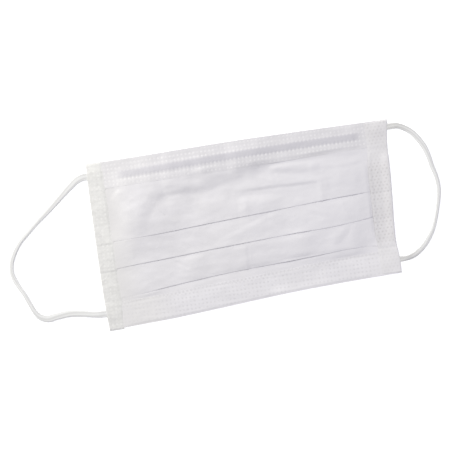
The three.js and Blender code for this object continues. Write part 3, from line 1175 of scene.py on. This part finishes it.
@dataclass(kw_only=True)
class Hem(FoldedStrip):
    """The cloth folded over one long edge of the panel; the upper hem holds the nose wire."""

    edge: Edge
    start: float = -84.5  # its ends, hidden inside the side bands
    end: float = 82.0
    columns: int = 430
    reach: float = 0.45  # how far its turn stands out
    flat: float = 0.72  # the middle of the upper wall where it lies on the panel
    ridge: float = 0.97  # and where it lies on the wire
    sealed: float = 0.44  # and along its cut edge, where it is welded down
    sealed_run: float = 2.4  # over which it comes down to that edge
    rounding: float = 0.0  # how far it comes down towards the fold
    rounding_run: float = 1.8
    clearance: float = 0.03  # of its lower wall from the surface
    teeth: float = 0.35  # how far the welds nibble at the wire's outline
    slid: float = 0.4  # how far from the wire its ridge lies, towards the chin
    # how far the wire's long edges and its ends are softened: in the shape, in its look, and
    # where the welds stop
    wire_shape: tuple[float, float] = (1.4, 3.0)
    wire_look: tuple[float, float] = (0.9, 3.5)
    wire_free: tuple[float, float] = (0.5, 0.5)
    faint: tuple[float, float, float] = (-66.0, -20.0, 0.7)  # x from, to, and its look at first
    margins: tuple[float, float] = (0.8, 0.5)  # clear of welds along its fold and its cut edge
    # how much of the cloth's creases it takes on at its cut edge and past so many mm
    creased: tuple[float, float, float] = (0.25, 0.8, 3.0)
    seam_place: float = 1.0  # of the welds that seal the chin hem, from its cut edge
    seam_radius: float = 1.0

    def wire_share(self, x: Array, y: Array, soft: float, ends: float) -> Array:
        """How much of a place lies over the wire.

        The welds beside the wire nibble at its long edges.

        Args:
            x: Places along the mask.
            y: Places across it.
            soft: How far the wire's long edges are softened, in mm.
            ends: The same for its two ends.

        Returns:
            From 0 beside the wire to 1 over it.
        """
        if self.edge is not Edge.TOP:
            return np.zeros(x.shape)
        wire = self.drape.wire
        teeth = self.teeth * np.cos(2.0 * math.pi * x / self.welds.pitch[0])
        low, high = wire.low.at(x) - self.slid + teeth, wire.high.at(x) - self.slid - 0.5 * teeth
        across = smooth(low - soft, low + soft, y) * smooth(high + soft, high - soft, y)
        along = smooth(wire.start - ends, wire.start + ends, x)
        return across * along * smooth(wire.end + ends, wire.end - ends, x)

    def seam(self, x: Array, from_cut: Array) -> Array:
        """How much there is of the row of larger welds along the cut edge.

        Args:
            x: Places along the hem.
            from_cut: Their distances from its cut edge.

        Returns:
            From 0 beside a weld to 1 in its middle.
        """
        pitch = self.welds.pitch[0]
        along = np.abs((x / pitch) % 1.0 - 0.5) * pitch
        away = np.hypot(along, from_cut - self.seam_place)
        return smooth(self.seam_radius, 0.4 * self.seam_radius, away)

    def under(self, along: Array, across: Array) -> Array:
        """The height of the lower wall, which lies on the surface or on a band's lower wall.

        Args:
            along: Places along the mask, x.
            across: Places across it, y.

        Returns:
            The height of its middle at each place.
        """
        fold, _ = self.drape.hems[self.edge].edges(self.edge)
        pressed = self.drape.pressed(along, fold.at(along))
        lower = mix(self.lower, self.drape.height(0.0, pressed), pressed)
        return lower + self.drape.lift(along, across, pressed)

    def upper(self, along: Array, across: Array) -> tuple[Array, Array]:
        """Find how the upper wall lies on the panel and the wire.

        Args:
            along: Places along the mask, x.
            across: Places across it, y.

        Returns:
            The height of its middle at each place, and how much of a weld is there.
        """
        drape, edges = self.drape, self.drape.hems[self.edge].edges(self.edge)
        pressed = drape.pressed(along, across)
        from_fold, from_cut = (np.abs(across - edge.at(along)) for edge in edges)
        height = mix(self.flat, self.ridge, self.wire_share(along, across, *self.wire_shape))
        height = mix(self.sealed, height, smooth(0.0, self.sealed_run, from_cut))
        height = height - self.rounding * smooth(self.rounding_run, 0.0, from_fold)
        height = mix(height, drape.height(2.0, pressed), pressed)
        inside = np.minimum(from_fold - self.margins[0], from_cut - self.margins[1])
        free = 1.0 - self.wire_share(along, across, *self.wire_free)
        area = smooth(0.0, 0.6, inside) * free
        dots = self.welds.dots(along, across) * area
        if self.edge is Edge.BOTTOM:
            dots = np.maximum(dots, self.seam(along, from_cut))
        least, most, run = self.creased
        shape = drape.relief(along, across, pressed) * mix(least, most, smooth(0.0, run, from_cut))
        shape = shape + drape.lift(along, across, pressed)
        return height + shape - self.welds.depth * dots, dots

    def build(self) -> bpy.types.Object:
        """Returns:
            The hem.
        """
        x = np.linspace(self.start, self.end, self.columns + 1)
        outer, inner = (line.at(x) for line in self.drape.hems[self.edge].edges(self.edge))
        y, z, welds = self.course(x, outer, inner, self.edge.value * self.reach)
        x = np.broadcast_to(x, y.shape)
        places = np.stack([x, y, np.maximum(z, 0.5 * self.wall + self.clearance)], axis=-1)
        left, right, least = self.faint
        wire = self.wire_share(x, y, *self.wire_look) * mix(least, 1.0, smooth(left, right, x))
        wire[: self.lower_rows + self.turn_rows] = 0.0
        name, flat = f"{self.edge.name.lower()}_hem", (self.end - self.start, self.cut_width)
        return self.make(name, "hem_cloth", places, {"weld": welds, "wire": wire}, flat)


@dataclass(kw_only=True)
class SideBand(FoldedStrip):
    """A strip of soft cloth folded over one end of the mask and welded through all its layers."""

    panel: PleatedPanel
    side: Side
    cord_ends: tuple[float, float]  # mm, where the ear loop's two ends are welded in
    rows_along: int = 262
    reach: float = 0.8  # how far its turn stands out
    seat: float = 0.22  # from the middle of the top layer inside to the middle of the band
    bridge: float = 2.4  # over how much of its length it comes down from a pleat's edge
    lump: float = 0.38  # how far it stands up over the end of an ear loop
    lump_size: tuple[float, float] = (7.5, 6.5)  # the half breadth and length of such a place
    # y from and to, and how clearly its welds show there
    zones: tuple[tuple[float, float, float], ...] = ((-60.0, 60.0, 1.0),)
    packed: float = 0.0  # how much of their look the cloth between them takes on
    unpacked: float = 0.3  # how much of a weld is left between the zones
    zone_run: float = 2.5  # half of what a zone takes to begin
    margins: tuple[float, float] = (1.2, 0.1)  # clear of welds along its fold and inner edge
    sunk: float = 0.14  # how far its inner edge is pressed into the cloth
    sunk_run: float = 1.6
    inner_puff: float = 0.0  # how far its inner edge stands up, halfway along it
    inner_puff_run: tuple[float, float] = (2.8, 0.0)  # from that edge
    outer_puff: float = 0.0  # and its outer edge
    outer_puff_run: tuple[float, float] = (6.0, 1.0)
    # y between which they begin and end to stand up
    puff_from: tuple[float, float] = (-26.0, -15.0)
    puff_to: tuple[float, float] = (33.0, 25.0)
    cord_place: float = 0.3  # of a cord's end, as a share of the way from fold to inner edge
    creased: float = 0.25  # how much of the cloth's creases it takes on
    air: float = 0.04  # between its walls at its two ends, where it is closed
    closed_run: float = 1.1

    def stack(self, y: Array) -> Array:
        """Count the layers under the band.

        Args:
            y: Places along it.

        Returns:
            The number of the top layer at each place, with ramps beside the pleats' edges.
        """
        drape, last = self.drape, len(self.drape.folds)
        inner = drape.bands[self.side].edges(self.side)[1].at(y)
        lines = (drape.nose_line, *drape.folds, drape.chin_line)
        borders = [line.at(inner) for line in lines]
        level = np.full(y.shape, 2.0)
        for facet, (high, low) in enumerate(zip(borders, borders[1:])):
            layer = self.panel.level(inner, y, facet)
            layer = np.maximum(layer, 2.0 * smooth(high - self.bridge, high, y))
            if facet == last:
                layer = np.maximum(layer, 2.0 * smooth(low + self.bridge, low, y))
            level = np.where((y >= low) & (y < high), layer, level)
        return level

    def under(self, along: Array, across: Array) -> Array:
        """The height of the lower wall, which rises with the band's inner edge."""
        return self.lower + self.drape.hover(across, along)

    def upper(self, along: Array, across: Array) -> tuple[Array, Array]:
        """Find how the upper wall lies on the layers and the cord ends in the band.

        Args:
            along: Places along the band, y.
            across: Places across it, x.

        Returns:
            The height of its middle at each place, and how much of a weld is there.
        """
        drape, outline = self.drape, self.drape.bands[self.side]
        hover = drape.hover(across, along)
        outer, inner = (edge.at(along) for edge in outline.edges(self.side))
        from_outer, from_inner = np.abs(across - outer), np.abs(across - inner)
        height = drape.PRESSED_LOWEST + self.stack(along) * drape.PRESSED_PITCH + self.seat
        height = height + hover - self.sunk * smooth(self.sunk_run, 0.0, from_inner)
        halfway = smooth(*self.puff_from, along) * smooth(*self.puff_to, along)
        height = height + halfway * self.inner_puff * smooth(*self.inner_puff_run, from_inner)
        height = height + halfway * self.outer_puff * smooth(*self.outer_puff_run, from_outer)
        breadth, length = self.lump_size
        cord = mix(outer, inner, self.cord_place)
        for end in self.cord_ends:
            away = np.hypot((across - cord) / breadth, (along - end) / length)
            height = height + self.lump * smooth(1.0, 0.2, away)
        inside = np.minimum(from_outer - self.margins[0], from_inner - self.margins[1])
        dots = self.welds.dots(across, along) * smooth(0.0, 0.5, inside)
        run = self.zone_run
        clear = sum(
            share * smooth(low - run, low + run, along) * smooth(high + run, high - run, along)
            for low, high, share in self.zones
        )
        dots = mix(self.unpacked * dots, mix(self.packed, 1.0, dots), clear)
        shape = self.creased * drape.relief(across, along, np.zeros(along.shape))
        height = height + shape - self.welds.depth * dots
        closed = self.lower + self.wall + self.air + hover
        from_end = np.minimum(along - outline.start, outline.end - along)
        return mix(closed, height, smooth(0.0, self.closed_run, from_end)), dots

    def build(self) -> bpy.types.Object:
        """Returns:
            The band.
        """
        outline = self.drape.bands[self.side]
        y = np.linspace(outline.start, outline.end, self.rows_along + 1)
        outer, inner = (line.at(y) for line in outline.edges(self.side))
        x, z, welds = self.course(y, outer, inner, self.side.value * self.reach)
        places = np.stack([x, np.broadcast_to(y, x.shape), z], axis=-1)
        name = f"side_band_{self.side.name.lower()}"
        flat = (self.cut_width, outline.end - outline.start)
        return self.make(name, "band_cloth", places, {"weld": welds}, flat)


# ---------------------------------------------------------------- the nose wire


@dataclass
class NoseWire:
    """The flat coated wire inside the upper hem, with the two round cores along its edges."""

    drape: Drape
    finish: CoatedWire
    height: float = 0.54  # mm, its middle
    web: float = 0.20  # its thickness between the cores
    core: float = 0.34  # its thickness along them
    core_place: float = 0.78  # of their middles, as a share of its half width
    core_breadth: float = 0.16
    creased: float = 0.8  # how much of the cloth's creases it takes on
    end_dip: float = 0.12  # how far its ends go down
    end_run: float = 6.0
    sections: int = 90
    around: int = 24

    def build(self) -> bpy.types.Object:
        """Make the wire.

        Returns:
            The wire.
        """
        drape, wire = self.drape, self.drape.wire
        x = np.linspace(wire.start, wire.end, self.sections + 1)
        low, high = wire.low.at(x)[:, None], wire.high.at(x)[:, None]
        angle = np.linspace(0.0, 2.0 * math.pi, self.around + 1)
        across = bulge(np.cos(angle), 0.7)
        edge = np.exp(-(((np.abs(across) - self.core_place) / self.core_breadth) ** 2))
        thick = 0.5 * mix(self.web, self.core, edge) * bulge(np.sin(angle), 0.5)
        y = 0.5 * (low + high) + 0.5 * (high - low) * across
        x = np.broadcast_to(x[:, None], y.shape)
        pressed = drape.pressed(x, y)
        end = np.minimum(x - wire.start, wire.end - x)
        z = self.height + thick + drape.lift(x, y, pressed)
        z = z + self.creased * drape.relief(x, y, pressed)
        rings = np.stack([x, y, z - self.end_dip * smooth(self.end_run, 0.0, end)], axis=-1)
        rings[:, -1] = rings[:, 0]
        piece = closed_tube("nose_wire", rings, self.finish.material(), {})
        return settle(piece, "nose_wire")


# ---------------------------------------------------------------- ear loops


LEFT_LOOP_ROUTE = (
    # x and y of the route, and the width of the cord seen from above
    (-81.6, 41.2, 4.0),
    (-88.0, 41.2, 4.0),
    (-91.2, 41.1, 4.4),
    (-93.7, 40.4, 4.3),
    (-98.6, 37.1, 4.1),
    (-105.8, 31.2, 3.6),
    (-112.9, 25.3, 3.3),
    (-120.2, 19.5, 2.8),
    (-127.1, 13.5, 2.6),
    (-132.2, 8.8, 2.6),
    (-136.3, 3.2, 2.8),
    (-138.8, -2.2, 2.8),
    (-139.4, -7.8, 2.7),
    (-137.6, -14.2, 2.9),
    (-134.4, -20.5, 2.6),
    (-131.8, -26.9, 2.8),
    (-129.7, -31.9, 3.0),
    (-127.0, -35.5, 3.6),
    (-122.8, -37.1, 4.2),
    (-117.2, -36.6, 4.1),
    (-109.6, -36.1, 4.1),
    (-102.2, -37.2, 3.9),
    (-95.7, -38.6, 3.8),
    (-91.7, -39.1, 4.0),
    (-88.0, -39.3, 3.8),
    (-81.9, -39.3, 4.0),
)
RIGHT_LOOP_ROUTE = (
    (81.3, 44.9, 4.0),
    (88.0, 44.6, 3.6),
    (91.0, 44.7, 3.5),
    (93.8, 44.5, 3.4),
    (98.0, 42.6, 3.4),
    (102.2, 39.2, 3.4),
    (105.4, 34.8, 3.5),
    (108.0, 29.8, 3.4),
    (109.7, 23.8, 3.0),
    (110.8, 18.1, 2.9),
    (112.3, 12.2, 2.7),
    (112.8, 6.0, 2.6),
    (112.0, 0.1, 2.5),
    (110.5, -5.8, 2.4),
    (108.4, -12.4, 2.4),
    (105.7, -18.7, 2.6),
    (102.1, -23.9, 3.1),
    (97.7, -28.4, 3.2),
    (92.3, -31.6, 3.2),
    (87.6, -32.5, 3.0),
    (84.8, -32.5, 3.4),
    (77.8, -32.4, 4.0),
)


@dataclass
class EarLoop:
    """A soft knitted elastic cord, lying on the surface, with both ends welded into a band."""

    drape: Drape
    finish: KnittedElastic
    side: Side
    route: tuple[tuple[float, float, float], ...]
    cut_length: float  # mm, with the two ends inside the band
    diameter: float = 2.7
    flattest: float = 1.8  # mm, the least height that its width leaves it
    roundest: float = 2.9
    tab_thickness: float = 0.36
    tab_height: float = 0.98  # the middle of the flattened end inside the band
    clearance: float = 0.02  # of the cord from the surface
    around: int = 36
    step: float = 0.36
    wales: int = 7  # columns of stitches round the cord
    course: float = 1.25  # from stitch to stitch along it, drawn coarse so that it shows
    twist: float = 0.02  # radians in each mm of its length
    stitch: float = 0.07  # how far a stitch stands out
    lean: float = 0.35  # how far a stitch leans, as a share of a course
    valley: float = 0.55  # how high a wale is between its stitches
    fullness: float = 0.88  # its height, as a share of what its width leaves it
    rise_run: tuple[float, float] = (-0.5, 5.0)  # off the band's edge: flat to round
    drop_run: tuple[float, float] = (0.0, 9.0)  # and down from the band to the surface
    gap_shade_depth: float = 0.6  # how dark the painted shade gets between its stitches
    darker_near_band: float = 0.0  # how much darker it is made towards the band
    darker_near_band_run: tuple[float, float] = (18.0, 3.0)  # off the band's edge

    def centreline(self) -> tuple[Array, Array, Array, Array]:
        """Sample the route evenly along its length.

        Returns:
            The points x and y, the cord's width at each, and the distance along the cord.
        """
        x, y, width = (np.array(column) for column in zip(*self.route))
        chord = np.concatenate([[0.0], np.cumsum(np.hypot(np.diff(x), np.diff(y)))])
        dense = np.linspace(0.0, chord[-1], 4000)
        xs, ys = (Line(tuple(chord), tuple(part)).at(dense) for part in (x, y))
        run = np.concatenate([[0.0], np.cumsum(np.hypot(np.diff(xs), np.diff(ys)))])
        even = np.linspace(0.0, run[-1], round(run[-1] / self.step) + 1)
        widths = Line(tuple(chord), tuple(width)).at(np.interp(even, run, dense))
        return np.interp(even, run, xs), np.interp(even, run, ys), widths, even

    def knit(self, run: Array, angle: Array) -> Array:
        """Find how far the knitted stitches stand out.

        Args:
            run: Distances along the cord, as a column.
            angle: Angles round it, as a row.

        Returns:
            From 0 in the gaps to 1 on top of a stitch.
        """
        turned = self.wales * (angle + self.twist * run)
        lean = self.lean * np.sin(turned)
        course = 0.5 + 0.5 * np.cos(2.0 * math.pi * (run / self.course + lean))
        return (0.5 + 0.5 * np.cos(turned)) * mix(self.valley, 1.0, course)

    def build(self) -> bpy.types.Object:
        """Returns:
            The cord.
        """
        x, y, width, run = self.centreline()
        exit_edge, _ = self.drape.bands[self.side].edges(self.side)
        outside = self.side.value * (x - exit_edge.at(y))
        left_over = np.clip(self.diameter**2 / width, self.flattest, self.roundest)
        round_height = self.fullness * left_over
        height = mix(self.tab_thickness, round_height, smooth(*self.rise_run, outside))
        tab = self.tab_height + self.drape.hover(x, y)
        low = self.clearance
        middle = mix(tab, 0.5 * round_height + low, smooth(*self.drop_run, outside))
        middle = np.maximum(middle, 0.5 * height + low)
        along_x, along_y = np.gradient(x, run), np.gradient(y, run)
        angle = np.linspace(0.0, 2.0 * math.pi, self.around + 1)[None, :]
        knit = self.knit(run[:, None], angle)
        relief = self.stitch * (knit - 0.5)
        across = (0.5 * width[:, None] + relief) * bulge(np.cos(angle))
        up = (0.5 * height[:, None] + relief) * bulge(np.sin(angle))
        ring_x = x[:, None] - along_y[:, None] * across
        ring_y = y[:, None] + along_x[:, None] * across
        rings = np.stack([ring_x, ring_y, np.maximum(middle[:, None] + up, low)], axis=-1)
        rings[:, -1] = rings[:, 0]
        # painted shade in the gaps between the stitches
        gap_shade = self.gap_shade_depth * np.clip(1.0 - 1.6 * knit, 0.0, 1.0)
        # darker towards the band's edge
        gap_shade = gap_shade + self.darker_near_band * smooth(*self.darker_near_band_run, outside)[:, None]
        name = f"ear_loop_{self.side.name.lower()}"
        piece = closed_tube(name, rings, self.finish.material(), {"gap_shade": gap_shade})
        settle(piece, name)
        LOG.info("%s: %.1f mm along its centreline", name, run[-1])
        return piece


# ---------------------------------------------------------------- the studio


@dataclass(frozen=True)
class Softbox:
    """A square softbox that looks at the mask."""

    name: str
    colour: str
    power: float  # W
    distance: float  # m
    azimuth: float  # degrees, where it stands, from +x towards +y
    elevation: float = 40.0  # degrees above the surface
    breadth: float = 0.55  # as a share of its distance

    def place(self) -> None:
        """Make the light."""
        data = bpy.data.lights.new(self.name, "AREA")
        data.energy = self.power
        data.size = self.breadth * self.distance
        data.color = linear(self.colour)[:3]
        turn, rise = math.radians(self.azimuth), math.radians(self.elevation)
        flat = math.cos(rise)
        towards = Vector((flat * math.cos(turn), flat * math.sin(turn), math.sin(rise)))
        light = bpy.data.objects.new(self.name, data)
        light.location = towards * self.distance
        light.rotation_mode = "QUATERNION"
        light.rotation_quaternion = towards.to_track_quat("Z", "Y")
        bpy.context.scene.collection.objects.link(light)


@dataclass
class Studio:
    """A camera straight above the mask, a white floor and soft light from the upper left."""

    distance: float = 0.75  # m, from the camera to the cloth
    view_width: float = 0.261  # m, what the picture takes in at that distance
    centre: tuple[float, float] = (-0.01305, 0.00182)
    turn: float = math.radians(-8.33)  # of the camera, clockwise from above
    sensor: float = 36.0
    cloth_height: float = 0.002
    paper: StudioPaper = StudioPaper("white studio paper, matt", "#F4F4F6", 0.52)
    floor_size: float = 6.0  # m, from its middle to its edges, wide enough for every view
    sky: str = "#F5F6FB"
    sky_light: float = 0.435
    boxes: tuple[Softbox, ...] = (
        Softbox("key", "#FEFDF7", 8.8, 1.0, 132.0),
        Softbox("fill", "#F3F1FF", 0.75, 0.65, -40.0),
    )

    def camera(self) -> None:
        """Make the camera and the scene's own."""
        data = bpy.data.cameras.new("camera")
        data.sensor_width = self.sensor
        data.lens = self.sensor * self.distance / self.view_width
        camera = bpy.data.objects.new("camera", data)
        camera.location = (*self.centre, self.distance + self.cloth_height)
        camera.rotation_euler = (0.0, 0.0, self.turn)
        bpy.context.scene.collection.objects.link(camera)
        bpy.context.scene.camera = camera

    def floor(self) -> None:
        """Make the floor."""
        bm = bmesh.new()
        bmesh.ops.create_grid(bm, x_segments=1, y_segments=1, size=self.floor_size)
        mesh = bpy.data.meshes.new("floor")
        bm.to_mesh(mesh)
        bm.free()
        finished(mesh, "floor", self.paper.material())

    def lights(self) -> None:
        """Make the soft light all round and the softboxes."""
        world = bpy.data.worlds.new("studio")
        bpy.context.scene.world = world
        world.use_nodes = True
        tree = world.node_tree
        tree.nodes.clear()
        inputs = {"Color": linear(self.sky), "Strength": self.sky_light}
        light = add_node(tree, "Background", "Background", inputs)
        add_node(tree, "OutputWorld", inputs={"Surface": light})
        for box in self.boxes:
            box.place()
        bpy.context.scene.view_settings.view_transform = "Standard"


# ---------------------------------------------------------------- the whole mask


def main() -> None:
    """Build the studio, then each piece of the mask in turn."""
    logging.basicConfig(level=logging.INFO, format="%(name)s: %(message)s")
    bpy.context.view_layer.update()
    studio = Studio()
    studio.camera()
    studio.floor()
    studio.lights()

    drape = Drape()
    # its second colour is the painted shade between the stitches
    elastic = KnittedElastic("knitted polyester elastic, tubular", "#EBEBEA", "#CCCBCA")
    EarLoop(drape, elastic, Side.LEFT, LEFT_LOOP_ROUTE, 157.0).build()
    EarLoop(drape, elastic, Side.RIGHT, RIGHT_LOOP_ROUTE, 118.0, darker_near_band=0.6).build()

    # painted light: the panel turns warmer towards the left and a touch cooler to the right
    painted_light_tints = (("#E0DEDC", -60.0, -84.0, 0.7), ("#E0DEE2", -30.0, 50.0, 1.0))
    cloth = Nonwoven("spunbond nonwoven, calendered", "#E0DEE1", "#DAD8DB", painted_light_tints=painted_light_tints)
    panel = PleatedPanel(drape, cloth)
    panel.build()
    NoseWire(drape, CoatedWire("polyethylene coated wire, extruded", "#D5D7DE")).build()

    # painted light: the upper hem turns lighter and warmer towards the left
    painted_light_tints = (("#E9E7E4", -30.0, -78.0, 0.25),)
    Hem(
        drape=drape,
        # its weld colour is lighter: a painted glint on the welds' fused film
        finish=Nonwoven("spunbond nonwoven, welded hem", "#DDDBDE", "#E9E7E9", painted_light_tints=painted_light_tints),
        welds=WeldGrid((2.3, 2.3), 0.8, 0.09),
        cut_width=32.0,
        edge=Edge.TOP,
    ).build()
    # painted light: the lower hem turns warmer towards the left
    painted_light_tints = (("#E2E0DE", -44.0, -66.0, 0.55),)
    Hem(
        drape=drape,
        # its weld colour is darker: painted shade in the weld pits
        finish=Nonwoven("spunbond nonwoven, embossed hem", "#E4E2E5", "#D9D7DA", painted_light_tints=painted_light_tints),
        welds=WeldGrid((2.3, 2.3), 0.8, 0.06),
        cut_width=29.0,
        edge=Edge.BOTTOM,
        flat=0.62,
        sealed=0.51,
        rounding=0.42,
    ).build()

    binding = Nonwoven(
        "spunbond nonwoven, soft binding",
        "#DFDEDC",
        # its weld colour is lighter: a painted glint on the welds' fused film
        "#E6E5E3",
        cloud=2.4,
        cloud_depth=0.055,
        crumple_strength=0.9,
    )
    SideBand(
        drape=drape,
        finish=binding,
        welds=WeldGrid((2.5, 2.3), 0.9, 0.11, skew=0.07, loss=0.6),
        cut_width=20.5,
        panel=panel,
        side=Side.LEFT,
        cord_ends=(41.2, -39.3),
        sunk=0.24,
    ).build()
    SideBand(
        drape=drape,
        # its weld colour is darker: painted shade in the weld pits, part of which the cloth between them
        # takes on in its zones
        finish=Nonwoven("spunbond nonwoven, soft binding, right", "#E2E0E2", "#CDCACB"),
        welds=WeldGrid((2.2, 1.9), 0.8, 0.09, skew=0.5),
        cut_width=25.0,
        panel=panel,
        side=Side.RIGHT,
        cord_ends=(44.9, -32.0),
        zones=((-22.0, 25.0, 1.0), (36.0, 60.0, 0.6)),
        packed=0.25,
        inner_puff=0.4,
        outer_puff=0.85,
    ).build()


if __name__ == "__main__":
    main()
